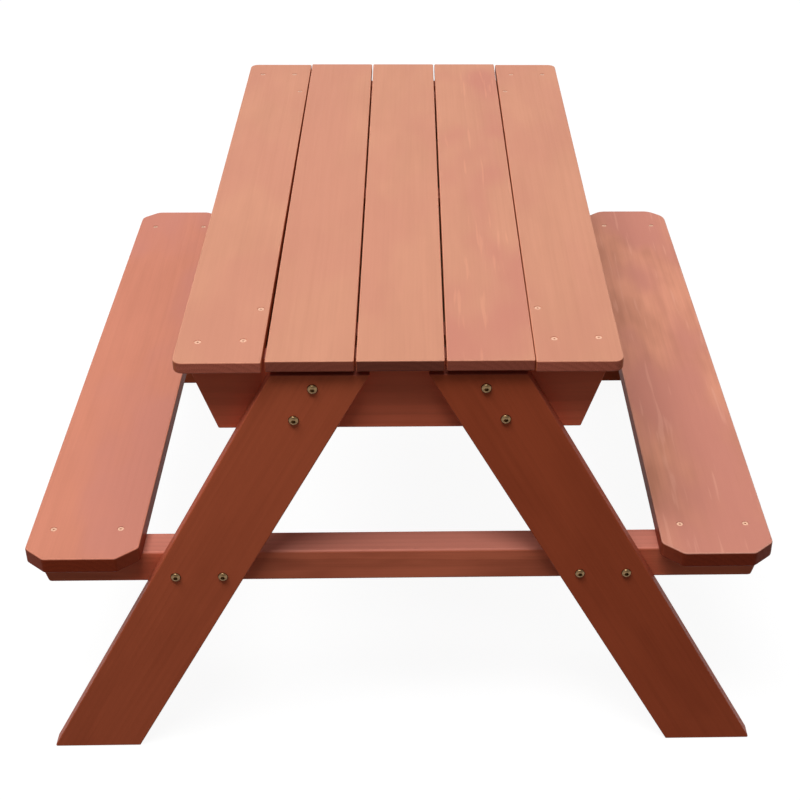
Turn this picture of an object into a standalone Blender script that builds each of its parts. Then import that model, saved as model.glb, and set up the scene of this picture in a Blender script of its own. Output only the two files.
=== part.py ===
# A child's picnic table with a sandbox under its lift-off lid.
# X runs across the table, Y along it with the front end at -Y, and Z up from the floor.
# The origin is on the floor, under the middle of the table. Lengths are in metres.
import math

import bmesh
import bpy
from mathutils import Matrix, Vector

# Table top
table_height = 0.500
board_length = 0.800
board_width = 0.0826
board_thickness = 0.012
board_gap = 0.0018
top_corner_radius = 0.010
left_board_shift = 0.0004
left_board_turn = math.radians(-0.072)

# Lid, which lies a little out of square in its opening
lid_shift_across = 0.0007
lid_shift_along = 0.0023
lid_turn = math.radians(0.086)
batten_width = 0.026
batten_thickness = 0.012
batten_side_clearance = 0.004
batten_end_clearance = 0.021

# Sandbox
end_overhang = 0.0286
end_board_height = 0.079
end_board_thickness = 0.020
end_board_inset = 0.0066
end_board_slant = math.radians(18.7)
side_board_thickness = 0.015
side_board_setback = 0.001
floor_thickness = 0.006
ledger_width = 0.012
ledger_height = 0.012

# Legs
leg_width = 0.082
leg_thickness = 0.0178
leg_gap_at_top = 0.045
leg_top_drop = 0.008
foot_spread = 0.773

# Benches and the bearers that carry them
seat_height = 0.275
bench_width = 0.1145
bench_thickness = 0.018
bench_overrun = 0.004
bench_leg_gap = 0.0215
bench_corner_across = 0.021
bench_corner_along = 0.018
bench_corner_softening = 0.007
bearer_height = 0.038
bearer_depth = 0.033
bearer_inset = 0.0035
bearer_end_slant = math.radians(15.0)

# Bolts, with their washers and nuts
bolt_head_radius = 0.0052
bolt_head_height = 0.0034
bolt_shank_radius = 0.003
bolt_thread_end = 0.0012
socket_radius = 0.0023
socket_depth = 0.002
washer_radius = 0.0065
washer_thickness = 0.0012
nut_radius = 0.0058
nut_height = 0.005
bolt_below_top = 0.023
bolt_above_bottom = 0.021
low_bolt_spacing = 0.048
low_bolt_rise = 0.0015

# Wood screws
screw_head_radius = 0.0033
screw_head_depth = 0.0022
screw_shank_radius = 0.0017
screw_tip_length = 0.004
screw_tip_radius = 0.0005
screw_recess = 0.0003
top_screw_length = 0.030
top_screw_inset = 0.020
side_screw_distance = 0.064
top_screw_strays = {"front_left_inner": 0.0025, "front_right_outer": 0.0055, "front_right_inner": 0.0035}
bench_screw_length = 0.045
bench_screw_inset = 0.023

# Shared by all pieces
fit_gap = 0.0003
eased_edge = 0.001
cut_overrun = 0.002
round_segments = 12
corner_segments = 3

# Places that follow from the sizes above
top_underside = table_height - board_thickness
board_pitch = board_width + board_gap
top_half_width = 2 * board_pitch + board_width / 2
outer_board_inner_edge = top_half_width - board_width
half_length = board_length / 2
end_board_face = half_length - end_overhang
end_board_inner_face = end_board_face - end_board_thickness
end_board_middle = end_board_face - end_board_thickness / 2
end_board_top = top_underside - fit_gap
end_board_bottom = end_board_top - end_board_height
side_board_inner_face = outer_board_inner_edge + side_board_setback
side_board_middle = side_board_inner_face + side_board_thickness / 2
side_board_outer_face = side_board_inner_face + side_board_thickness
floor_top = end_board_bottom + floor_thickness
leg_back_face = end_board_face + fit_gap
leg_front_face = leg_back_face + leg_thickness
bench_underside = seat_height - bench_thickness
bearer_top = bench_underside - fit_gap
bearer_middle_height = bearer_top - bearer_height / 2
bearer_inner_face = end_board_face - bearer_depth
bearer_middle = end_board_face - bearer_depth / 2


def leg_tangent():
    """How far a leg leans out for each unit of height, so that its two ends are where the sizes say."""
    tangent = 0.0
    for step in range(30):
        half_cut = leg_width / 2 * math.sqrt(1 + tangent ** 2)
        top_middle = leg_gap_at_top / 2 + half_cut
        foot_middle = foot_spread / 2 - half_cut
        tangent = (foot_middle - top_middle) / end_board_top
    return tangent


leg_lean = leg_tangent()
leg_half_cut = leg_width / 2 * math.sqrt(1 + leg_lean ** 2)


def leg_middle(height):
    """Distance of a leg's centre line from the table's middle, at a height."""
    return foot_spread / 2 - leg_half_cut - height * leg_lean


bench_inner_edge = leg_middle(bench_underside) + leg_half_cut + bench_leg_gap
bench_outer_edge = bench_inner_edge + bench_width
bench_middle = (bench_inner_edge + bench_outer_edge) / 2
bearer_half_length = bench_outer_edge - bearer_inset

SIDES = {"left": -1, "right": 1}
ENDS = {"front": -1, "rear": 1}


# Materials

def make_material(name, color, roughness, metallic=0.0):
    material = bpy.data.materials.new(name)
    material.use_nodes = True
    shader = material.node_tree.nodes["Principled BSDF"]
    shader.inputs["Base Color"].default_value = (*color, 1.0)
    shader.inputs["Roughness"].default_value = roughness
    shader.inputs["Metallic"].default_value = metallic
    material.diffuse_color = (*color, 1.0)
    return material


# Shapes

def prism(outline, depth, axis):
    """A closed solid from an outline drawn across one axis, reaching half its depth to each side."""
    bm = bmesh.new()
    placed = []
    for first, second in outline:
        if axis == "X":
            placed.append(Vector((-depth / 2, first, second)))
        elif axis == "Y":
            placed.append(Vector((first, -depth / 2, second)))
        else:
            placed.append(Vector((first, second, -depth / 2)))
    face = bm.faces.new([bm.verts.new(point) for point in placed])
    grown = bmesh.ops.extrude_face_region(bm, geom=[face])
    direction = Vector([depth if name == axis else 0.0 for name in "XYZ"])
    moved = [item for item in grown["geom"] if isinstance(item, bmesh.types.BMVert)]
    bmesh.ops.translate(bm, verts=moved, vec=direction)
    bmesh.ops.recalc_face_normals(bm, faces=bm.faces)
    return bm


def box_outline(width, height):
    """The four corners of a rectangle about the origin."""
    return [(-width / 2, -height / 2), (width / 2, -height / 2), (width / 2, height / 2), (-width / 2, height / 2)]


def softened(outline, radii):
    """An outline whose corners are arcs, each of the radius given for it, or sharp where that is zero."""
    points = []
    count = len(outline)
    for index, corner in enumerate(outline):
        radius = radii[index]
        here = Vector(corner)
        if radius == 0:
            points.append(tuple(here))
            continue
        before = (Vector(outline[index - 1]) - here).normalized()
        after = (Vector(outline[(index + 1) % count]) - here).normalized()
        half_angle = before.angle(after) / 2
        reach = radius / math.tan(half_angle)
        centre = here + (before + after).normalized() * (radius / math.sin(half_angle))
        start = here + before * reach - centre
        finish = here + after * reach - centre
        sweep = start.angle_signed(finish)
        for step in range(corner_segments + 1):
            turn = Matrix.Rotation(-sweep * step / corner_segments, 2)
            points.append(tuple(centre + turn @ start))
    return points


def turned(profile, matrix=Matrix.Identity(4), segments=round_segments, bm=None):
    """A closed solid turned about Z from (radius, height) points that run upwards, added to a mesh."""
    bm = bm or bmesh.new()
    rings = []
    for radius, height in profile:
        ring = []
        for step in range(segments):
            angle = math.tau * step / segments
            point = Vector((radius * math.cos(angle), radius * math.sin(angle), height))
            ring.append(bm.verts.new(matrix @ point))
        rings.append(ring)
    for lower, upper in zip(rings, rings[1:]):
        for step in range(segments):
            after = (step + 1) % segments
            bm.faces.new((lower[step], lower[after], upper[after], upper[step]))
    bm.faces.new(list(reversed(rings[0])))
    bm.faces.new(rings[-1])
    return bm


def new_object(name, bm, material=None, parent=None):
    """An object that takes over a bmesh."""
    mesh = bpy.data.meshes.new(name)
    bm.to_mesh(mesh)
    bm.free()
    if material:
        mesh.materials.append(material)
    obj = bpy.data.objects.new(name, mesh)
    bpy.context.scene.collection.objects.link(obj)
    obj.parent = parent
    return obj


def wooden(name, bm, location, material, parent=None):
    """A piece of wood with its edges eased, at its place."""
    piece = new_object(name, bm, material, parent)
    piece.location = location
    easing = piece.modifiers.new("eased edges", "BEVEL")
    easing.width = eased_edge
    easing.segments = 1
    easing.limit_method = "ANGLE"
    easing.angle_limit = math.radians(40)
    pieces[name] = piece
    return piece


# Table top and lid

def make_top_boards():
    """The two outer boards, which are screwed down. Their outer corners are rounded."""
    places = {"left": (left_board_shift, left_board_turn), "right": (0, 0)}
    for side, sign in SIDES.items():
        shift, turn = places[side]
        outline = box_outline(board_width, board_length)
        radii = [top_corner_radius if x * sign > 0 else 0 for x, y in outline]
        location = (sign * 2 * board_pitch + shift, 0, table_height - board_thickness / 2)
        board = prism(softened(outline, radii), board_thickness, "Z")
        wooden(f"top_board_{side}", board, location, TOP_WOOD).rotation_euler = (0, 0, turn)


def make_lid():
    """Three boards on three battens. All hang on an empty, which carries the lid's small shift and turn."""
    lid = bpy.data.objects.new("lid_lift_axis", None)
    bpy.context.scene.collection.objects.link(lid)
    lid.location = (lid_shift_across, lid_shift_along, top_underside)
    lid.rotation_euler = (0, 0, lid_turn)
    for place, name in ((-1, "left"), (0, "middle"), (1, "right")):
        board = prism(box_outline(board_width, board_length), board_thickness, "Z")
        location = (place * board_pitch, 0, board_thickness / 2)
        wooden(f"lid_board_{name}", board, location, TOP_WOOD, lid)
    batten_length = 2 * (side_board_inner_face - batten_side_clearance)
    end_batten = end_board_inner_face - batten_end_clearance - batten_width / 2
    for place, name in ((-1, "front"), (0, "middle"), (1, "rear")):
        batten = prism(box_outline(batten_length, batten_width), batten_thickness, "Z")
        location = (0, place * end_batten, -fit_gap - batten_thickness / 2)
        wooden(f"lid_batten_{name}", batten, location, FRAME_WOOD, lid)


# Sandbox

def make_sandbox():
    """Two trapezoid end boards, which also carry the top, with two side boards, a floor and its ledgers."""
    top_half = top_half_width - end_board_inset
    bottom_half = top_half - end_board_height * math.tan(end_board_slant)
    half_height = end_board_height / 2
    middle_height = end_board_top - half_height
    trapezoid = [(-bottom_half, -half_height), (bottom_half, -half_height),
                 (top_half, half_height), (-top_half, half_height)]
    wall_height = end_board_top - floor_top - fit_gap
    inner_length = 2 * (end_board_inner_face - fit_gap)
    for end, sign in ENDS.items():
        location = (0, sign * end_board_middle, middle_height)
        wooden(f"sandbox_end_{end}", prism(trapezoid, end_board_thickness, "Y"), location, FRAME_WOOD)
        ledger = prism(box_outline(2 * (side_board_inner_face - fit_gap), ledger_height), ledger_width, "Y")
        ledger_place = sign * (end_board_inner_face - fit_gap - ledger_width / 2)
        location = (0, ledger_place, floor_top + fit_gap + ledger_height / 2)
        wooden(f"floor_ledger_{end}", ledger, location, FRAME_WOOD)
    for side, sign in SIDES.items():
        wall = prism(box_outline(inner_length, wall_height), side_board_thickness, "X")
        location = (sign * side_board_middle, 0, end_board_top - wall_height / 2)
        wooden(f"sandbox_side_{side}", wall, location, FRAME_WOOD)
    floor = prism(box_outline(2 * side_board_outer_face, inner_length), floor_thickness, "Z")
    wooden("sandbox_floor", floor, (0, 0, floor_top - floor_thickness / 2), PLYWOOD)


# Legs, bearers and benches

def make_legs():
    """Four splayed planks, level at both ends, bolted to the sandbox ends and the bearers."""
    half_height = (end_board_top - leg_top_drop) / 2
    swing = half_height * leg_lean
    middle = leg_middle(half_height)
    for end, end_sign in ENDS.items():
        for side, side_sign in SIDES.items():
            outline = [(swing - leg_half_cut, -half_height), (swing + leg_half_cut, -half_height),
                       (leg_half_cut - swing, half_height), (-swing - leg_half_cut, half_height)]
            outline = [(side_sign * across, up) for across, up in outline]
            place = end_sign * (leg_back_face + leg_thickness / 2)
            location = (side_sign * middle, place, half_height)
            wooden(f"leg_{end}_{side}", prism(outline, leg_thickness, "Y"), location, FRAME_WOOD)


def make_bearers():
    """A square rail behind each pair of legs, with its ends cut back under the benches."""
    half_height = bearer_height / 2
    bottom_half = bearer_half_length - bearer_height * math.tan(bearer_end_slant)
    outline = [(-bottom_half, -half_height), (bottom_half, -half_height),
               (bearer_half_length, half_height), (-bearer_half_length, half_height)]
    for end, sign in ENDS.items():
        location = (0, sign * bearer_middle, bearer_middle_height)
        wooden(f"bearer_{end}", prism(outline, bearer_depth, "Y"), location, FRAME_WOOD)


def make_benches():
    """One wide board on each side, with its four corners cut off."""
    half_width = bench_width / 2
    half = half_length + bench_overrun
    outline = [(-half_width + bench_corner_across, -half), (half_width - bench_corner_across, -half),
               (half_width, -half + bench_corner_along), (half_width, half - bench_corner_along),
               (half_width - bench_corner_across, half), (-half_width + bench_corner_across, half),
               (-half_width, half - bench_corner_along), (-half_width, -half + bench_corner_along)]
    outline = softened(outline, [bench_corner_softening] * len(outline))
    for side, sign in SIDES.items():
        location = (sign * bench_middle, 0, seat_height - bench_thickness / 2)
        wooden(f"bench_{side}", prism(outline, bench_thickness, "Z"), location, BENCH_WOOD)


# Bolts

def bolt_mesh(grip):
    """A domed socket bolt with its washer and nut. Its head's seat is at zero, and the shank runs down Z."""
    end = grip + washer_thickness + nut_height + bolt_thread_end
    dome_shares = ((1.0, 0.0), (0.98, 0.35), (0.82, 0.72), (0.60, 1.0))
    dome = [(bolt_head_radius * radius, bolt_head_height * height) for radius, height in dome_shares]
    shape = [(bolt_shank_radius, -end), (bolt_shank_radius, -grip - washer_thickness),
             (washer_radius, -grip - washer_thickness), (washer_radius, -grip),
             (bolt_shank_radius, -grip), (bolt_shank_radius, 0)]
    bolt = new_object("bolt shape", turned(shape + dome))
    nut_top = -grip - washer_thickness / 2
    nut_bottom = -grip - washer_thickness - nut_height
    nut = new_object("nut shape", turned([(nut_radius, nut_bottom), (nut_radius, nut_top)], segments=6))
    socket_bottom = bolt_head_height - socket_depth
    socket_mouth = bolt_head_height + cut_overrun
    socket_shape = turned([(socket_radius, socket_bottom), (socket_radius, socket_mouth)], segments=6)
    socket = new_object("socket shape", socket_shape)
    for tool, operation in ((nut, "UNION"), (socket, "DIFFERENCE")):
        cut = bolt.modifiers.new(operation.lower(), "BOOLEAN")
        cut.operation = operation
        cut.object = tool
    evaluated = bolt.evaluated_get(bpy.context.evaluated_depsgraph_get())
    mesh = bpy.data.meshes.new_from_object(evaluated)
    mesh.materials.clear()
    mesh.materials.append(BRASS)
    mesh.shade_smooth()
    mesh.set_sharp_from_angle(angle=math.radians(35))
    for tool in (bolt, nut, socket):
        bpy.data.objects.remove(tool)
    return mesh


def bolt_hole(bm, matrix, grip, pocket):
    """A bolt's clearance hole, which runs through both pieces, with a pocket round its nut if asked for."""
    radius = bolt_shank_radius + fit_gap
    end = -grip - washer_thickness - nut_height - bolt_thread_end - cut_overrun
    shape = [(radius, end), (radius, cut_overrun)]
    if pocket:
        wide = washer_radius + fit_gap
        shape = [(wide, end), (wide, -grip + fit_gap), (radius, -grip + fit_gap), (radius, cut_overrun)]
    turned(shape, matrix, bm=bm)


def make_bolts():
    """Four bolts a leg: two into the sandbox end, with nuts sunk in pockets, and two through the bearer."""
    pocket_depth = washer_thickness + nut_height + bolt_thread_end + fit_gap
    high_grip = leg_thickness + fit_gap + end_board_thickness - pocket_depth
    low_grip = leg_thickness + fit_gap + bearer_depth + fit_gap
    high_mesh = bolt_mesh(high_grip)
    low_mesh = bolt_mesh(low_grip)
    first_height = end_board_top - bolt_below_top
    second_height = end_board_bottom + bolt_above_bottom
    low_height = bearer_middle_height + low_bolt_rise
    low_middle = leg_middle(low_height)
    places = (("top", leg_middle(first_height), first_height, True),
              ("second", leg_middle(second_height), second_height, True),
              ("low_inner", low_middle - low_bolt_spacing / 2, low_height, False),
              ("low_outer", low_middle + low_bolt_spacing / 2, low_height, False))
    for end, end_sign in ENDS.items():
        facing = Matrix.Rotation(math.radians(-90) * end_sign, 4, "X")
        for side, side_sign in SIDES.items():
            for name, across, height, high in places:
                bolt = bpy.data.objects.new(f"bolt_{end}_{side}_{name}", high_mesh if high else low_mesh)
                bpy.context.scene.collection.objects.link(bolt)
                seat = end_sign * (leg_front_face + fit_gap)
                bolt.location = (side_sign * across, seat, height)
                bolt.rotation_euler = facing.to_euler()
                matrix = Matrix.Translation(bolt.location) @ facing
                grip = (high_grip if high else low_grip) + fit_gap
                joined = f"sandbox_end_{end}" if high else f"bearer_{end}"
                for piece in (f"leg_{end}_{side}", joined):
                    bolt_hole(holes_in(piece), matrix, grip, high)


# Screws

def screw_shape(length, grow=0.0):
    """Profile of a countersunk screw that hangs from zero, or of its hole when it is grown."""
    shape = [(screw_tip_radius + grow, -length - grow), (screw_shank_radius + grow, -length + screw_tip_length),
             (screw_shank_radius + grow, -screw_head_depth), (screw_head_radius + grow, 0)]
    if grow:
        shape.append((screw_head_radius + grow, screw_recess + cut_overrun))
    return shape


def place_screw(name, mesh, length, location, through):
    """A screw with its head just under a surface, and its hole in the pieces that it joins."""
    screw = bpy.data.objects.new(name, mesh)
    bpy.context.scene.collection.objects.link(screw)
    screw.location = location
    for piece in through:
        turned(screw_shape(length, fit_gap), Matrix.Translation(location), bm=holes_in(piece))


def screw_mesh(name, length):
    """One screw, which its copies share."""
    bm = turned(screw_shape(length))
    mesh = bpy.data.meshes.new(name)
    bm.to_mesh(mesh)
    bm.free()
    mesh.materials.append(STEEL)
    mesh.shade_smooth()
    mesh.set_sharp_from_angle(angle=math.radians(25))
    return mesh


def make_screws():
    """Each outer top board has three at an end, one of them into the sandbox side. Each bench has two.
    A screw that strays was driven that much nearer to the table's middle than the others."""
    top_mesh = screw_mesh("top screw", top_screw_length)
    bench_mesh = screw_mesh("bench screw", bench_screw_length)
    side_screw_along = end_board_middle - side_screw_distance
    top_places = (("outer", top_half_width - top_screw_inset, end_board_middle, "end"),
                  ("inner", outer_board_inner_edge + top_screw_inset, end_board_middle, "end"),
                  ("side", side_board_middle, side_screw_along, "side"))
    bench_places = (("outer", bench_outer_edge - bench_screw_inset), ("inner", bench_inner_edge + bench_screw_inset))
    for end, end_sign in ENDS.items():
        for side, side_sign in SIDES.items():
            for name, across, along, target in top_places:
                strayed = along - top_screw_strays.get(f"{end}_{side}_{name}", 0)
                location = Vector((side_sign * across, end_sign * strayed, table_height - screw_recess))
                below = f"sandbox_end_{end}" if target == "end" else f"sandbox_side_{side}"
                through = (f"top_board_{side}", below)
                place_screw(f"top_screw_{end}_{side}_{name}", top_mesh, top_screw_length, location, through)
            for name, across in bench_places:
                location = Vector((side_sign * across, end_sign * bearer_middle, seat_height - screw_recess))
                through = (f"bench_{side}", f"bearer_{end}")
                place_screw(f"bench_screw_{end}_{side}_{name}", bench_mesh, bench_screw_length, location, through)


# Holes

def holes_in(piece):
    """The mesh that gathers a piece's holes."""
    if piece not in holes:
        holes[piece] = bmesh.new()
    return holes[piece]


def drill():
    """Cuts each piece's gathered holes out of it."""
    for name, bm in holes.items():
        cutter = new_object(f"cutter_{name}", bm)
        cutter.hide_render = True
        cutter.display_type = "WIRE"
        cut = pieces[name].modifiers.new("holes", "BOOLEAN")
        cut.operation = "DIFFERENCE"
        cut.object = cutter


for old in list(bpy.context.scene.objects):
    bpy.data.objects.remove(old)

TOP_WOOD = make_material("top stain", (0.63, 0.31, 0.19), 0.55)
BENCH_WOOD = make_material("bench stain", (0.58, 0.24, 0.16), 0.55)
FRAME_WOOD = make_material("frame stain", (0.33, 0.10, 0.06), 0.6)
PLYWOOD = make_material("plywood", (0.55, 0.36, 0.22), 0.7)
BRASS = make_material("bolt brass", (0.60, 0.48, 0.27), 0.35, 1.0)
STEEL = make_material("screw steel", (0.62, 0.48, 0.38), 0.4, 1.0)

pieces = {}
holes = {}
make_top_boards()
make_lid()
make_sandbox()
make_legs()
make_bearers()
make_benches()
make_bolts()
make_screws()
drill()
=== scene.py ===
# The looks of the picnic table with sandbox: stained planks, plywood, bolts and screws.
# Everything is in metres, in the frame's own axes: X across, Y along the table, Z up.
import math

import bmesh
import bpy
from mathutils import Euler, Matrix, Vector


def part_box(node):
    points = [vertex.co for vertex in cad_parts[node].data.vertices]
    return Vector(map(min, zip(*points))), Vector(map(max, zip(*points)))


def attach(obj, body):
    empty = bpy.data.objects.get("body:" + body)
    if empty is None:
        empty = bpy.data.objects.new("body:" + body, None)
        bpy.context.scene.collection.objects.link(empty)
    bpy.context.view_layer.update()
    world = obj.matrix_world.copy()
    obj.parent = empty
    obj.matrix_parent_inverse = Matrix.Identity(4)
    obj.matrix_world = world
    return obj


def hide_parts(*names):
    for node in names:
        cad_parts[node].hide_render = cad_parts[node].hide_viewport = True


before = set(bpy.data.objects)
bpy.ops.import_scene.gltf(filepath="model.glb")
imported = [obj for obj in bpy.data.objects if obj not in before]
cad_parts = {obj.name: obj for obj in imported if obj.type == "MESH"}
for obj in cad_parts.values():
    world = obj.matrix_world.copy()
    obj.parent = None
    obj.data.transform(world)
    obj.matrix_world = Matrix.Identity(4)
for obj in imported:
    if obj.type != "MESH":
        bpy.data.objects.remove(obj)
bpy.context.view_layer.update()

SIDES = {"left": -1, "right": 1}
ENDS = {"front": -1, "rear": 1}
LID_BOARDS = ("left", "middle", "right")
BATTENS = ("front", "middle", "rear")
collection = bpy.context.scene.collection


# Camera

camera_place = (0.01673, -1.56110, 1.19762)
camera_yaw = 0.03459
camera_pitch = 0.56697
camera_roll = -0.01243
focal_pixels = 1463.0
image_pixels = 800
sensor_width = 36.0
centre_offset_pixels = 60


def make_camera():
    """The photograph's viewpoint. Its axis meets the picture right of the middle, hence the shift."""
    data = bpy.data.cameras.new("camera")
    data.sensor_width = sensor_width
    data.lens = focal_pixels / image_pixels * sensor_width
    data.shift_x = -centre_offset_pixels / image_pixels
    camera = bpy.data.objects.new("camera", data)
    collection.objects.link(camera)
    looking = Euler((math.pi / 2 - camera_pitch, 0, -camera_yaw)).to_matrix()
    rolled = looking @ Matrix.Rotation(-camera_roll, 3, "Z")
    camera.matrix_world = Matrix.Translation(camera_place) @ rolled.to_4x4()
    bpy.context.scene.camera = camera


# Light, floor and background

world_level = 0.145
# Each lamp's place, the point that it faces, its width and depth, and its power
LAMPS = {"overhead": ((0.0, 1.3, 2.6), (0.0, 1.3, 0.0), (2.6, 3.6), 32.0),
         "key": ((-0.75, -1.65, 4.2), (0.0, -0.1, 0.35), (2.8, 1.2), 113.0)}
floor_size = 14.0
floor_seen = 0.92
floor_bounce = 0.15
floor_glow = 1.10
shadow_share = 0.16


def seen_as_background(nodes, links):
    """A value that is 1 where the camera sees the surface, directly, in a reflection or through glass."""
    path = nodes.new("ShaderNodeLightPath")
    seen = path.outputs["Is Camera Ray"]
    for kind in ("Is Glossy Ray", "Is Transmission Ray"):
        either = nodes.new("ShaderNodeMath")
        either.operation = "MAXIMUM"
        links.new(seen, either.inputs[0])
        links.new(path.outputs[kind], either.inputs[1])
        seen = either.outputs[0]
    return seen


def make_world():
    """Dim even light, and a white background where the world itself is seen."""
    world = bpy.data.worlds.new("studio")
    bpy.context.scene.world = world
    world.use_nodes = True
    nodes = world.node_tree.nodes
    links = world.node_tree.links
    background = nodes["Background"]
    background.inputs["Color"].default_value = (1, 1, 1, 1)
    level = nodes.new("ShaderNodeMapRange")
    level.inputs["To Min"].default_value = world_level
    level.inputs["To Max"].default_value = 1.0
    links.new(seen_as_background(nodes, links), level.inputs["Value"])
    links.new(level.outputs["Result"], background.inputs["Strength"])


def make_lamps():
    """A broad soft lamp high over the rear, and a wide strip high in front, a little to the left."""
    for name, (place, target, (width, depth), power) in LAMPS.items():
        data = bpy.data.lights.new(name, "AREA")
        data.shape = "RECTANGLE"
        data.size = width
        data.size_y = depth
        data.energy = power
        lamp = bpy.data.objects.new(name, data)
        aim = (Vector(target) - Vector(place)).to_track_quat("-Z", "Y")
        lamp.matrix_world = Matrix.Translation(place) @ aim.to_matrix().to_4x4()
        collection.objects.link(lamp)


def make_floor():
    """A floor that looks white, keeps a part of the table's shadow and sends little light back."""
    material = bpy.data.materials.new("floor")
    material.use_nodes = True
    nodes = material.node_tree.nodes
    links = material.node_tree.links
    nodes.clear()
    output = nodes.new("ShaderNodeOutputMaterial")
    shadowed = nodes.new("ShaderNodeBsdfDiffuse")
    shadowed.inputs["Color"].default_value = (floor_seen, floor_seen, floor_seen, 1)
    glow = nodes.new("ShaderNodeEmission")
    glow.inputs["Strength"].default_value = floor_glow
    seen = nodes.new("ShaderNodeMixShader")
    seen.inputs["Fac"].default_value = 1 - shadow_share
    links.new(shadowed.outputs[0], seen.inputs[1])
    links.new(glow.outputs[0], seen.inputs[2])
    bounce = nodes.new("ShaderNodeBsdfDiffuse")
    bounce.inputs["Color"].default_value = (floor_bounce, floor_bounce, floor_bounce, 1)
    choice = nodes.new("ShaderNodeMixShader")
    links.new(seen_as_background(nodes, links), choice.inputs["Fac"])
    links.new(bounce.outputs[0], choice.inputs[1])
    links.new(seen.outputs[0], choice.inputs[2])
    links.new(choice.outputs[0], output.inputs["Surface"])
    mesh = bpy.data.meshes.new("floor")
    half = floor_size / 2
    corners = [(-half, -half, 0), (half, -half, 0), (half, half, 0), (-half, half, 0)]
    mesh.from_pydata(corners, [], [(0, 1, 2, 3)])
    mesh.materials.append(material)
    floor = bpy.data.objects.new("floor", mesh)
    collection.objects.link(floor)


# Wood

ring_spacing = 0.0060
ring_wander = 0.014
ring_taper = 0.008
wander_scale = (1.8, 9.0, 9.0)
pore_scale = 900.0
seed_distance = 3.7
# How much paler the rounded upper edges get: partly wear, partly a painted highlight
wear_and_highlight_level = 0.75
end_latewood_level = 0.25
end_pore_level = 0.45
wood_gloss = 0.05
least_roughness = 0.42
fibre_roughness = 0.16
relief_strength = 0.28
relief_height = 0.0003
fibre_relief = 0.7
ring_relief = 0.4
# Where each of these starts and where it is full, as a value, or as how far a face looks up or endways
latewood_rise = (0.25, 0.90)
latewood_fall = (0.92, 1.0)
drift_rise = (0.40, 0.62)
thread_rise = (0.63, 0.74)
rim_rise = (0.25, 0.55)
rim_fall = (0.88, 0.995)
wear_and_highlight_rise = (0.25, 0.55)
pore_rise = (0.35, 0.70)
end_rise = (0.60, 0.90)
upward_rise = (0.10, 0.85)
# Noise along the grain: its scale lengthwise as a share of that across, its scale, detail and roughness
GRAIN_NOISE = {"fibres": (0.016, 420.0, 3.0, 0.6),
               "strands": (0.03, 75.0, 2.0, 0.55),
               "patches": (0.22, 34.0, 2.0, 0.5),
               "clouds": (0.4, 13.0, 3.0, 0.55),
               "hue": (0.45, 10.0, 2.0, 0.5),
               "threads": (0.07, 170.0, 1.0, 0.5)}
# Where each noise starts to darken the wood, where it does so fully, and by how much
GRAIN_DARK = {"fibres": (0.35, 0.75, 0.14),
              "strands": (0.42, 0.70, 0.26),
              "patches": (0.42, 0.66, 0.45),
              "clouds": (0.38, 0.64, 0.55)}
# How much the red, green and blue of a tone take part in its spread to the dark side
darkening_shares = (1.0, 1.25, 1.35)
end_spread = 0.25
pale_gain = 1.35


class Shader:
    """A material with small helpers that make and join its nodes."""

    def __init__(self, name):
        self.material = bpy.data.materials.new(name)
        self.material.use_nodes = True
        self.nodes = self.material.node_tree.nodes
        self.links = self.material.node_tree.links
        self.surface = self.nodes["Principled BSDF"]

    def put(self, value, socket):
        """Joins a socket to another, or sets it to a plain value."""
        if isinstance(value, bpy.types.NodeSocket):
            self.links.new(value, socket)
        elif isinstance(value, (tuple, list)) and len(socket.default_value) == 4 and len(value) == 3:
            socket.default_value = (*value, 1)
        else:
            socket.default_value = value

    def math(self, operation, first, second=0.0, clamp=False):
        node = self.nodes.new("ShaderNodeMath")
        node.operation = operation
        node.use_clamp = clamp
        self.put(first, node.inputs[0])
        self.put(second, node.inputs[1])
        return node.outputs[0]

    def times(self, first, second):
        return self.math("MULTIPLY", first, second)

    def total(self, *values):
        """The sum of several values, kept between 0 and 1."""
        result = values[0]
        for value in values[1:]:
            result = self.math("ADD", result, value, clamp=True)
        return result

    def mix(self, share, first, second):
        node = self.nodes.new("ShaderNodeMix")
        node.data_type = "RGBA"
        self.put(share, node.inputs[0])
        self.put(first, node.inputs[6])
        self.put(second, node.inputs[7])
        return node.outputs[2]

    def vector(self, operation, vector, other):
        node = self.nodes.new("ShaderNodeVectorMath")
        node.operation = operation
        self.put(vector, node.inputs[0])
        node.inputs[1].default_value = other
        return node.outputs[0]

    def scaled(self, vector, scale):
        return self.vector("MULTIPLY", vector, scale)

    def turned(self, vector, turn):
        node = self.nodes.new("ShaderNodeMapping")
        node.vector_type = "VECTOR"
        node.inputs["Rotation"].default_value = turn
        self.put(vector, node.inputs["Vector"])
        return node.outputs[0]

    def parts(self, vector):
        node = self.nodes.new("ShaderNodeSeparateXYZ")
        self.put(vector, node.inputs[0])
        return node.outputs["X"], node.outputs["Y"], node.outputs["Z"]

    def noise(self, vector, scale, detail=2.0, roughness=0.5):
        node = self.nodes.new("ShaderNodeTexNoise")
        self.put(vector, node.inputs["Vector"])
        node.inputs["Scale"].default_value = scale
        node.inputs["Detail"].default_value = detail
        node.inputs["Roughness"].default_value = roughness
        return node.outputs[0]

    def steps(self, value, low, high):
        """Rises smoothly from 0 to 1 while the value goes from low to high."""
        node = self.nodes.new("ShaderNodeMapRange")
        node.interpolation_type = "SMOOTHSTEP"
        self.put(value, node.inputs["Value"])
        node.inputs["From Min"].default_value = low
        node.inputs["From Max"].default_value = high
        return node.outputs["Result"]


def around(color, spread):
    """A light and a dark tone of one colour. The dark one is also a little redder."""
    light = tuple(part * (1 + spread) for part in color)
    dark = tuple(part * (1 - spread * share) for part, share in zip(color, darkening_shares))
    return light, dark


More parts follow.
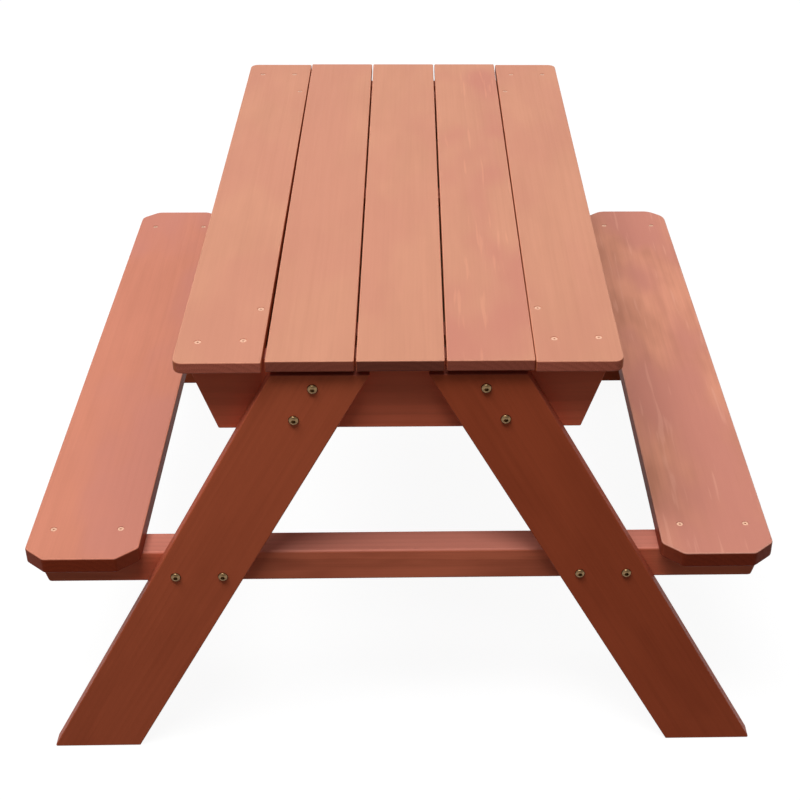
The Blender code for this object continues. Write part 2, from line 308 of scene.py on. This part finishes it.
def stain_and_sheen(up, side, end, drift=None, pale=None, spread=0.1, side_spread=0.18):
    """One stained plank's tones: its upward faces, paler than the sides by a painted sheen, where they drift
    to and are pale, its sides and ends.
    """
    return {"up": around(up, spread),
            "side": around(side, side_spread),
            "end": around(end, end_spread),
            "drift": drift or up,
            "pale": pale or tuple(min(1, part * pale_gain) for part in up)}


def wood(name, tones, place, turn, pith, seed, streaks=0.5, rings=0.2, flecks=0.0, drift=0.5, slope=0.0):
    """Stained wood. Its upward faces are paler by a painted sheen, and their rounded edges paler still, as
    wear and as a painted highlight. The grain runs along X after the turn, round a pith that far across and
    below.
    """
    s = Shader(name)
    coordinates = s.nodes.new("ShaderNodeTexCoord").outputs["Object"]
    centred = s.turned(s.vector("SUBTRACT", coordinates, place), turn)
    grain = s.vector("ADD", centred, (seed * seed_distance, -pith[0], -pith[1]))

    def grain_noise(kind):
        lengthwise, scale, detail, roughness = GRAIN_NOISE[kind]
        return s.noise(s.scaled(grain, (lengthwise, 1.0, 1.0)), scale, detail, roughness)

    def darkening(kind, noise, level):
        low, high, share = GRAIN_DARK[kind]
        return s.times(s.steps(noise, low, high), share * level)

    # Annual rings round the pith, each with its dark latewood
    wander = s.noise(s.scaled(grain, wander_scale), 1.0, 3.0)
    along, across, deep = s.parts(grain)
    radius = s.math("SQRT", s.math("ADD", s.times(across, across), s.times(deep, deep)))
    bent = s.math("ADD", radius, s.math("ADD", s.times(wander, ring_wander), s.times(along, ring_taper)))
    phase = s.math("FRACT", s.math("DIVIDE", bent, ring_spacing))
    before_next = s.math("SUBTRACT", 1.0, s.steps(phase, *latewood_fall))
    latewood = s.times(s.steps(phase, *latewood_rise), before_next)
    fibres = grain_noise("fibres")
    streaky = [darkening(kind, grain_noise(kind), streaks) for kind in ("strands", "patches", "clouds")]
    dark = s.total(s.times(latewood, rings), darkening("fibres", fibres, 1.0), *streaky)

    # The upward faces, with their painted sheen: their tone drifts slowly, and some planks have pale flecks
    top = s.mix(dark, *tones["up"])
    leaning = s.math("ADD", grain_noise("hue"), s.times(s.parts(centred)[1], slope))
    top = s.mix(s.times(s.steps(leaning, *drift_rise), drift), top, tones["drift"])
    if flecks:
        threads = s.steps(grain_noise("threads"), *thread_rise)
        top = s.mix(s.times(threads, flecks), top, tones["pale"])

    # Upper edges made paler, partly as wear and partly as a painted highlight on their rounding, then the
    # other faces and the end grain with its pores
    normal = s.nodes.new("ShaderNodeNewGeometry").outputs["Normal"]
    rise = s.parts(normal)[2]
    rim = s.times(s.steps(rise, *rim_rise), s.math("SUBTRACT", 1.0, s.steps(rise, *rim_fall)))
    worn_and_highlit = s.times(rim, s.times(s.steps(fibres, *wear_and_highlight_rise), wear_and_highlight_level))
    top = s.mix(worn_and_highlit, top, tones["pale"])
    end_facing = s.math("ABSOLUTE", s.parts(s.turned(normal, turn))[0])
    pores = s.noise(grain, pore_scale, 2.0, 0.6)
    end_dark = s.total(s.times(latewood, end_latewood_level),
                       s.times(s.steps(pores, *pore_rise), end_pore_level))
    side = s.mix(dark, *tones["side"])
    side = s.mix(s.steps(end_facing, *end_rise), side, s.mix(end_dark, *tones["end"]))
    # Faces that look up get the upward tone, which holds a painted sheen of the light from above; the other
    # faces get the darker side tone
    s.put(s.mix(s.steps(rise, *upward_rise), side, top), s.surface.inputs["Base Color"])
    s.put(s.math("ADD", least_roughness, s.times(fibres, fibre_roughness)), s.surface.inputs["Roughness"])
    s.surface.inputs["Specular IOR Level"].default_value = wood_gloss

    relief = s.nodes.new("ShaderNodeBump")
    relief.inputs["Strength"].default_value = relief_strength
    relief.inputs["Distance"].default_value = relief_height
    height = s.math("ADD", s.times(fibres, fibre_relief), s.times(latewood, ring_relief))
    s.put(height, relief.inputs["Height"])
    s.put(relief.outputs[0], s.surface.inputs["Normal"])
    return s.material


# Tones

# The upward tones (TOP_UP, FRAME_UP, LEG_UP and each stain's first tone) are paler than the side tones by a
# painted sheen of the light from above
TOP_UP = (0.636, 0.288, 0.185)
TOP_DRIFT = (0.622, 0.246, 0.176)
TOP_SIDE = (0.500, 0.130, 0.055)
BOARD_END = (0.300, 0.080, 0.050)
FRAME_UP = (0.630, 0.222, 0.160)
FRAME_END = (0.240, 0.055, 0.032)
LEG_UP = (0.360, 0.090, 0.058)
# The benches' side tone is darkened by painted shade, from the shadow that the table top casts on their inner
# sides
BENCH_SIDE_PAINTED_SHADE = (0.300, 0.060, 0.028)
LEFT_BENCH = stain_and_sheen((0.670, 0.254, 0.166), BENCH_SIDE_PAINTED_SHADE, (0.220, 0.032, 0.011), (0.660, 0.259, 0.203))
RIGHT_BENCH = stain_and_sheen((0.735, 0.316, 0.206), BENCH_SIDE_PAINTED_SHADE, (0.180, 0.026, 0.010), (0.660, 0.260, 0.196),
                    (0.840, 0.410, 0.300), spread=0.15)
LEG_SIDES = {"left": (0.545, 0.117, 0.050), "right": (0.440, 0.084, 0.033)}
# The end boards' side tone is lightened by painted light, since they stand in the shade of the top
END_BOARD_PAINTED_LIGHT = stain_and_sheen(FRAME_UP, (0.735, 0.163, 0.083), FRAME_END)
BEARER = stain_and_sheen(FRAME_UP, (0.685, 0.176, 0.092), FRAME_END, side_spread=0.24)
INNER = stain_and_sheen(FRAME_UP, (0.380, 0.088, 0.044), FRAME_END)
PLYWOOD = stain_and_sheen((0.560, 0.380, 0.230), (0.500, 0.340, 0.200), (0.420, 0.270, 0.150))
END_LEVELS = {"top_board_left": 1.55,
              "lid_board_left": 0.98,
              "lid_board_middle": 0.58,
              "lid_board_right": 1.09,
              "top_board_right": 1.46}
BENCH_LOOKS = {"left": dict(tones=LEFT_BENCH, pith=(0.02, -0.05), seed=81, streaks=0.30, rings=0.10,
                            drift=0.6, slope=-1.2),
               "right": dict(tones=RIGHT_BENCH, pith=(0.04, -0.07), seed=83, streaks=0.95, rings=0.06,
                             flecks=0.35, drift=0.9)}


def board_tones(node):
    """The tones of one board of the top, whose end faces are set lighter or darker board by board."""
    end = tuple(part * END_LEVELS[node] for part in BOARD_END)
    return stain_and_sheen(TOP_UP, TOP_SIDE, end, TOP_DRIFT, spread=0.09)


# Plank shapes

board_edge = 0.0015
bench_edge = 0.0020
frame_edge = 0.0013
bearer_edge = 0.0028
plywood_edge = 0.0004
edge_segments = 3
sharpest_turn = math.radians(38)
board_width = 0.0826
board_length = 0.800
top_corner_radius = 0.010
left_board_turn = math.radians(-0.072)
lid_turn = math.radians(0.086)
leg_width = 0.082
lean_rounds = 30
foot_corner_radius = 0.0015
end_board_slant = math.radians(18.7)
bearer_end_slant = math.radians(15.0)
bench_corner_across = 0.021
bench_corner_along = 0.018
# The radius of each bench's cut corners, at its front and at its rear
BENCH_SOFTENING = {"left": (0.006, 0.014), "right": (0.009, 0.022)}
arc_steps = 6
# The turn that brings a plank's grain to X
ALONG_Y = (0, 0, math.radians(-90))
ALONG_X = (0, 0, 0)
# The point of an outline that lies across an axis, at a depth along it
ACROSS = {"X": lambda first, second, depth: (depth, first, second),
          "Y": lambda first, second, depth: (first, depth, second),
          "Z": lambda first, second, depth: (first, second, depth)}


def softened(outline, radii):
    """An outline whose corners are arcs, each of the radius given for it, or sharp where that is zero."""
    points = []
    count = len(outline)
    for index, corner in enumerate(outline):
        radius = radii[index]
        here = Vector(corner)
        if radius == 0:
            points.append(tuple(here))
            continue
        before = (Vector(outline[index - 1]) - here).normalized()
        after = (Vector(outline[(index + 1) % count]) - here).normalized()
        half_angle = before.angle(after) / 2
        centre = here + (before + after).normalized() * (radius / math.sin(half_angle))
        reach = radius / math.tan(half_angle)
        start = here + before * reach - centre
        sweep = start.angle_signed(here + after * reach - centre)
        for step in range(arc_steps + 1):
            points.append(tuple(centre + Matrix.Rotation(-sweep * step / arc_steps, 2) @ start))
    return points


def rectangle(width, height):
    across = width / 2
    up = height / 2
    return [(-across, -up), (across, -up), (across, up), (-across, up)]


def trapezoid(top, height, slant):
    """A shape whose top is wider than its bottom, from that width, its height and its ends' slant."""
    top_half = top / 2
    bottom_half = top_half - height * math.tan(slant)
    half = height / 2
    return [(-bottom_half, -half), (bottom_half, -half), (top_half, half), (-top_half, half)]


def object_from(name, bm):
    mesh = bpy.data.meshes.new(name)
    bm.to_mesh(mesh)
    bm.free()
    obj = bpy.data.objects.new(name, mesh)
    collection.objects.link(obj)
    return obj


def size_of(node):
    low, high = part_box(node)
    return high - low


def middle_of(node):
    low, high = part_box(node)
    return (low + high) / 2


def plank(node, body, outline, axis, material, edge=frame_edge, turn=0.0):
    """A timber in the place of a CAD plank, from an outline across one axis, with rounded edges."""
    depth = size_of(node)["XYZ".index(axis)]
    across = ACROSS[axis]
    bm = bmesh.new()
    face = bm.faces.new([bm.verts.new(across(*point, -depth / 2)) for point in outline])
    grown = bmesh.ops.extrude_face_region(bm, geom=[face])
    moved = [item for item in grown["geom"] if isinstance(item, bmesh.types.BMVert)]
    bmesh.ops.translate(bm, verts=moved, vec=across(0, 0, depth))
    bmesh.ops.recalc_face_normals(bm, faces=bm.faces)
    timber = object_from(f"{node}_timber", bm)
    timber.data.shade_smooth()
    timber.data.transform(Matrix.Translation(middle_of(node)) @ Matrix.Rotation(turn, 4, "Z"))
    timber.data.materials.append(material)
    rounding = timber.modifiers.new("rounded edges", "BEVEL")
    rounding.width = edge
    rounding.segments = edge_segments
    rounding.limit_method = "ANGLE"
    rounding.angle_limit = sharpest_turn
    rounding.harden_normals = True
    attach(timber, body)
    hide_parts(node)
    return timber


# Planks

def make_top():
    """Two fixed outer boards with rounded outer corners, and the lid's three boards."""
    piths = {"top_board_left": (0.02, -0.09),
             "top_board_right": (0.05, -0.09),
             "lid_board_left": (-0.03, -0.06),
             "lid_board_middle": (0.01, -0.09),
             "lid_board_right": (0.03, -0.05)}
    for seed, (node, pith) in enumerate(piths.items(), 11):
        redder = node == "lid_board_right"
        material = wood(node, board_tones(node), middle_of(node), ALONG_Y, pith, seed,
                        streaks=0.34, rings=0.08,
                        flecks=0.26 if redder else 0.0, drift=0.95 if redder else 0.35)
        outline = rectangle(board_width, board_length)
        if node.startswith("lid"):
            plank(node, "lid", outline, "Z", material, board_edge, lid_turn)
            continue
        sign = SIDES[node.rsplit("_", 1)[1]]
        radii = [top_corner_radius if x * sign > 0 else 0 for x, y in outline]
        turn = left_board_turn if sign < 0 else 0.0
        plank(node, "frame", softened(outline, radii), "Z", material, board_edge, turn)


def make_lid_battens():
    """Three cross pieces that hold the lid's boards together from below."""
    for index, place in enumerate(BATTENS):
        node = f"lid_batten_{place}"
        size = size_of(node)
        material = wood(node, INNER, middle_of(node), ALONG_X, (0.01, -0.05), 31 + index)
        outline = rectangle(size.x - size.y * lid_turn, size.y - size.x * lid_turn)
        plank(node, "lid", outline, "Z", material, turn=lid_turn)


def make_sandbox():
    """Slanted end boards with their ledgers, side boards and the plywood floor."""
    for index, end in enumerate(ENDS):
        node = f"sandbox_end_{end}"
        size = size_of(node)
        material = wood(node, END_BOARD_PAINTED_LIGHT, middle_of(node), ALONG_X, (-0.07, 0.02), 41 + index)
        plank(node, "frame", trapezoid(size.x, size.z, end_board_slant), "Y", material)
        node = f"floor_ledger_{end}"
        size = size_of(node)
        material = wood(node, INNER, middle_of(node), ALONG_X, (0.03, -0.03), 45 + index)
        plank(node, "frame", rectangle(size.x, size.z), "Y", material)
    for index, side in enumerate(SIDES):
        node = f"sandbox_side_{side}"
        size = size_of(node)
        material = wood(node, INNER, middle_of(node), ALONG_Y, (0.06, 0.01), 51 + index)
        plank(node, "frame", rectangle(size.y, size.z), "X", material)
    node = "sandbox_floor"
    size = size_of(node)
    material = wood(node, PLYWOOD, middle_of(node), ALONG_Y, (0.0, -0.9), 55, streaks=0.6)
    plank(node, "frame", rectangle(size.x, size.y), "Z", material, plywood_edge)


def leg_lean(size):
    """How far a leg leans out for each unit of height, from its box and the width of its plank."""
    lean = 0.0
    for step in range(lean_rounds):
        lean = (size.x - leg_width * math.sqrt(1 + lean ** 2)) / size.z
    return lean


def make_legs():
    """Four splayed planks, whose grain follows their lean."""
    for end_index, end in enumerate(ENDS):
        for side, sign in SIDES.items():
            node = f"leg_{end}_{side}"
            size = size_of(node)
            lean = leg_lean(size)
            half_cut = leg_width / 2 * math.sqrt(1 + lean ** 2)
            half = size.z / 2
            swing = half * lean
            outline = [(sign * (swing - half_cut), -half), (sign * (swing + half_cut), -half),
                       (sign * (half_cut - swing), half), (-sign * (swing + half_cut), half)]
            outline = softened(outline, [foot_corner_radius, foot_corner_radius, 0, 0])
            turn = (0, math.radians(90) + sign * math.atan(lean), 0)
            seed = 61 + 2 * end_index + (sign + 1) // 2
            tones = stain_and_sheen(LEG_UP, LEG_SIDES[side], FRAME_END, side_spread=0.20)
            material = wood(node, tones, middle_of(node), turn, (0.03, 0.05 * sign), seed,
                            streaks=0.40, rings=0.06)
            plank(node, "frame", outline, "Y", material)


def make_bearers():
    for index, end in enumerate(ENDS):
        node = f"bearer_{end}"
        size = size_of(node)
        material = wood(node, BEARER, middle_of(node), ALONG_X, (0.05, -0.01), 71 + index,
                        streaks=0.7, rings=0.30)
        outline = trapezoid(size.x, size.z, bearer_end_slant)
        plank(node, "frame", outline, "Y", material, bearer_edge)


def make_benches():
    """One wide board on each side, with its four corners cut off."""
    for side in SIDES:
        node = f"bench_{side}"
        size = size_of(node)
        across = size.x / 2
        along = size.y / 2
        cut_across = across - bench_corner_across
        cut_along = along - bench_corner_along
        outline = [(-cut_across, -along), (cut_across, -along),
                   (across, -cut_along), (across, cut_along),
                   (cut_across, along), (-cut_across, along),
                   (-across, cut_along), (-across, -cut_along)]
        front, rear = BENCH_SOFTENING[side]
        outline = softened(outline, [front if y < 0 else rear for x, y in outline])
        material = wood(node, place=middle_of(node), turn=ALONG_Y, **BENCH_LOOKS[side])
        plank(node, "frame", outline, "Z", material, bench_edge)


# Bolts and screws

fit_gap = 0.0003
# A metal's bright tone, its tarnish and its least roughness
BOLT_BRASS = ((0.240, 0.152, 0.078), (0.100, 0.061, 0.028), 0.16)
SCREW_STEEL = ((0.680, 0.390, 0.270), (0.570, 0.330, 0.225), 0.34)
tarnish_scale = 350.0
tarnish_roughness = 0.15
tarnish_rise = (0.35, 0.70)
bolt_segments = 40
bolt_head_radius = 0.0052
bolt_head_height = 0.0034
bolt_seat_radius = bolt_head_radius * 0.97
bolt_rim_height = bolt_head_height * 0.10
bolt_shank_radius = 0.003
bolt_tip_radius = bolt_shank_radius * 0.8
bolt_thread_end = 0.0012
bolt_tip_height = 0.0006
dome_steps = 9
# Powers that flatten the dome's side and its crown
dome_side = 0.85
dome_crown = 1.1
socket_radius = 0.0023
socket_depth = 0.0026
socket_rim_radius = socket_radius * 1.22
bolt_smooth_angle = 32
washer_radius = 0.0065
washer_thickness = 0.0012
nut_radius = 0.0058
nut_height = 0.005
nut_end_radius = nut_radius * 0.88
nut_bevel = nut_height * 0.12
screw_segments = 24
screw_head_radius = 0.0033
screw_head_depth = 0.0022
screw_lower_rim = (screw_head_radius * 0.96, -0.0004)
screw_middle_rim = (screw_head_radius, -0.0002)
screw_upper_rim = (screw_head_radius * 0.97, 0)
screw_shank_radius = 0.0017
screw_core_radius = screw_shank_radius * 0.75
screw_tip_radius = screw_shank_radius * 0.2
screw_tip_length = 0.005
screw_neck_length = 0.002
screw_smooth_angle = 30
cross_arm = screw_head_radius * 0.45
cross_half_width = screw_head_radius * 0.12
cross_depth = screw_head_depth * 0.6
recess_depth = 0.004
batten_screw_length = 0.020
floor_screw_length = 0.016
floor_screws_a_side = 4
floor_screw_pitch = 0.28


def lathe(bm, profile, matrix=Matrix.Identity(4), segments=bolt_segments):
    """A closed solid turned about Z from (radius, height) points that run upwards, added to a mesh."""
    rings = []
    for radius, height in profile:
        ring = []
        for step in range(segments):
            angle = math.tau * step / segments
            point = Vector((radius * math.cos(angle), radius * math.sin(angle), height))
            ring.append(bm.verts.new(matrix @ point))
        rings.append(ring)
    for lower, upper in zip(rings, rings[1:]):
        for step in range(segments):
            after = (step + 1) % segments
            bm.faces.new((lower[step], lower[after], upper[after], upper[step]))
    bm.faces.new(list(reversed(rings[0])))
    bm.faces.new(rings[-1])


def metal(name, color, tarnish, roughness):
    """Plated metal with a slightly uneven tarnish."""
    s = Shader(name)
    coordinates = s.nodes.new("ShaderNodeTexCoord").outputs["Object"]
    patches = s.noise(coordinates, tarnish_scale, 3.0)
    s.put(s.mix(s.steps(patches, *tarnish_rise), color, tarnish), s.surface.inputs["Base Color"])
    s.surface.inputs["Metallic"].default_value = 1.0
    s.put(s.math("ADD", roughness, s.times(patches, tarnish_roughness)), s.surface.inputs["Roughness"])
    return s.material


def cut_mesh(body, cutter):
    """The mesh of one object, as its modifiers leave it, with another one cut out and then removed."""
    cut = body.modifiers.new("cut", "BOOLEAN")
    cut.operation = "DIFFERENCE"
    cut.object = cutter
    bpy.context.view_layer.update()
    graph = bpy.context.evaluated_depsgraph_get()
    whole = body.evaluated_get(graph)
    mesh = bpy.data.meshes.new_from_object(whole, preserve_all_data_layers=True, depsgraph=graph)
    bpy.data.objects.remove(cutter)
    return mesh


def finish_metal(mesh, material, sharp):
    """Gives a mesh its metal, smooth but for edges that turn by more than the angle in degrees."""
    mesh.materials.clear()
    mesh.materials.append(material)
    mesh.shade_smooth()
    mesh.set_sharp_from_angle(angle=math.radians(sharp))
    return mesh


def bolt_mesh(length, material):
    """A domed bolt with a hexagon socket, seat at zero and shank down Z, with its washer and nut."""
    dome = [(bolt_seat_radius, 0), (bolt_head_radius, bolt_rim_height)]
    for step in range(1, dome_steps):
        angle = math.radians(90) * step / dome_steps
        radius = bolt_head_radius * math.cos(angle) ** dome_side
        rise = (bolt_head_height - bolt_rim_height) * math.sin(angle) ** dome_crown
        if radius > socket_rim_radius:
            dome.append((radius, bolt_rim_height + rise))
    top = dome[-1][1]
    shank = [(bolt_tip_radius, -length),
             (bolt_shank_radius, bolt_tip_height - length),
             (bolt_shank_radius, 0)]
    bm = bmesh.new()
    lathe(bm, shank + dome)
    body = object_from("bolt_blank", bm)
    bm = bmesh.new()
    lathe(bm, [(socket_radius, top - socket_depth), (socket_radius, top + fit_gap)], segments=6)
    mesh = cut_mesh(body, object_from("socket_blank", bm))
    bpy.data.objects.remove(body)
    bm = bmesh.new()
    bm.from_mesh(mesh)
    nut_end = bolt_thread_end - length
    nut_seat = nut_end + nut_height
    nut = [(nut_end_radius, nut_end), (nut_radius, nut_end + nut_bevel), (nut_radius, nut_seat)]
    lathe(bm, nut, segments=6)
    lathe(bm, [(washer_radius, nut_seat), (washer_radius, nut_seat + washer_thickness)])
    bm.to_mesh(mesh)
    bm.free()
    return finish_metal(mesh, material, bolt_smooth_angle)


def make_bolts():
    """Each bolt is one piece with its washer and nut. Bolts of one length share a mesh."""
    brass = metal("bolt_brass", *BOLT_BRASS)
    meshes = {}
    for end, sign in ENDS.items():
        facing = Matrix.Rotation(math.radians(-90) * sign, 4, "X")
        for side in SIDES:
            for name in ("top", "second", "low_inner", "low_outer"):
                node = f"bolt_{end}_{side}_{name}"
                low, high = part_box(node)
                length = round(high.y - low.y - bolt_head_height, 5)
                if length not in meshes:
                    meshes[length] = bolt_mesh(length, brass)
                bolt = bpy.data.objects.new(f"{node}_bolt", meshes[length])
                collection.objects.link(bolt)
                middle = middle_of(node)
                seat = (low.y + bolt_head_height) if sign < 0 else (high.y - bolt_head_height)
                bolt.matrix_world = Matrix.Translation((middle.x, seat, middle.z)) @ facing
                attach(bolt, "frame")
                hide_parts(node)


def screw_mesh(length, material):
    """A countersunk cross-recess wood screw that hangs from zero."""
    profile = [(screw_tip_radius, -length),
               (screw_core_radius, screw_tip_length - length),
               (screw_core_radius, -screw_head_depth - screw_neck_length),
               (screw_shank_radius, -screw_head_depth),
               screw_lower_rim,
               screw_middle_rim,
               screw_upper_rim]
    bm = bmesh.new()
    lathe(bm, profile, segments=screw_segments)
    body = object_from("screw_blank", bm)
    width = cross_half_width
    corners = [(cross_arm, -width), (cross_arm, width), (width, width)]
    outline = []
    for quarter in range(4):
        turn = Matrix.Rotation(math.radians(90) * quarter, 2)
        outline += [turn @ Vector(corner) for corner in corners]
    bm = bmesh.new()
    top = [bm.verts.new((point.x, point.y, fit_gap)) for point in outline]
    bottom = [bm.verts.new((point.x / 2, point.y / 2, -cross_depth)) for point in outline]
    bm.faces.new(top)
    bm.faces.new(list(reversed(bottom)))
    for index in range(len(outline)):
        after = (index + 1) % len(outline)
        bm.faces.new((bottom[index], bottom[after], top[after], top[index]))
    mesh = cut_mesh(body, object_from("recess_blank", bm))
    bpy.data.objects.remove(body)
    return finish_metal(mesh, material, screw_smooth_angle)


screw_steel = metal("screw_steel", *SCREW_STEEL)
screw_meshes = {}
recesses = {}


def place_screw(name, length, place, body, carrier, node=None, upward=False):
    """A screw whose head is at a place on a plank's face. The place is noted for the plank's recess."""
    if length not in screw_meshes:
        screw_meshes[length] = screw_mesh(length, screw_steel)
    flip = Matrix.Rotation(math.pi if upward else 0.0, 4, "X")
    # Each screw is turned by an angle of its own, which comes from its place
    spin = Matrix.Rotation((place.x * 47 + place.y * 19) % math.tau, 4, "Z")
    matrix = Matrix.Translation(place) @ flip @ spin
    screw = bpy.data.objects.new(name, screw_meshes[length])
    collection.objects.link(screw)
    screw.matrix_world = matrix
    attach(screw, body)
    if node:
        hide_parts(node)
    recesses.setdefault(carrier, []).append(matrix)


def make_seen_screws():
    """The screws of the outer top boards and the benches, which stand for CAD nodes."""
    for end in ENDS:
        for side in SIDES:
            rows = ((f"top_screw_{end}_{side}", f"top_board_{side}", ("outer", "inner", "side")),
                    (f"bench_screw_{end}_{side}", f"bench_{side}", ("outer", "inner")))
            for start, carrier, names in rows:
                for name in names:
                    node = f"{start}_{name}"
                    low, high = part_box(node)
                    place = Vector((middle_of(node).x, middle_of(node).y, high.z))
                    place_screw(f"{node}_screw", round(high.z - low.z, 5), place, "frame", carrier, node)


def make_hidden_screws():
    """Screws driven up from below, through the battens into the lid and round the edge of the floor."""
    for batten in BATTENS:
        low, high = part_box(f"lid_batten_{batten}")
        for board in LID_BOARDS:
            for hand, sign in SIDES.items():
                across = middle_of(f"lid_board_{board}").x + sign * board_width / 4
                place = Vector((across, (low.y + high.y) / 2, low.z + fit_gap))
                name = f"batten_screw_{batten}_{board}_{hand}"
                place_screw(name, batten_screw_length, place, "lid", f"lid_batten_{batten}", upward=True)
    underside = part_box("sandbox_floor")[0].z + fit_gap
    for side in SIDES:
        middle = middle_of(f"sandbox_side_{side}")
        pitch = size_of(f"sandbox_side_{side}").y * floor_screw_pitch
        for index in range(floor_screws_a_side):
            along = (index - (floor_screws_a_side - 1) / 2) * pitch
            place = Vector((middle.x, along, underside))
            name = f"floor_screw_{side}_{index + 1}"
            place_screw(name, floor_screw_length, place, "frame", "sandbox_floor", upward=True)
    for end in ENDS:
        middle = middle_of(f"floor_ledger_{end}")
        for hand, sign in SIDES.items():
            place = Vector((sign * size_of(f"floor_ledger_{end}").x * floor_screw_pitch, middle.y, underside))
            name = f"floor_screw_{end}_{hand}"
            place_screw(name, floor_screw_length, place, "frame", "sandbox_floor", upward=True)


def cut_recesses():
    """Cuts the screw recesses of each plank into its mesh, as cones that open at its face."""
    hole = screw_shank_radius + fit_gap
    head = screw_head_radius + fit_gap
    profile = [(hole, -recess_depth), (hole, -screw_head_depth), (head, 0), (head, recess_depth)]
    for carrier, matrices in recesses.items():
        bm = bmesh.new()
        for matrix in matrices:
            lathe(bm, profile, matrix, screw_segments)
        timber = bpy.data.objects[f"{carrier}_timber"]
        mesh = cut_mesh(timber, object_from(f"{carrier}_recesses", bm))
        timber.modifiers.clear()
        timber.data = mesh


make_camera()
make_world()
make_lamps()
make_floor()
make_top()
make_lid_battens()
make_sandbox()
make_legs()
make_bearers()
make_benches()
make_bolts()
make_seen_screws()
make_hidden_screws()
cut_recesses()

bpy.context.scene.view_settings.view_transform = "Standard"
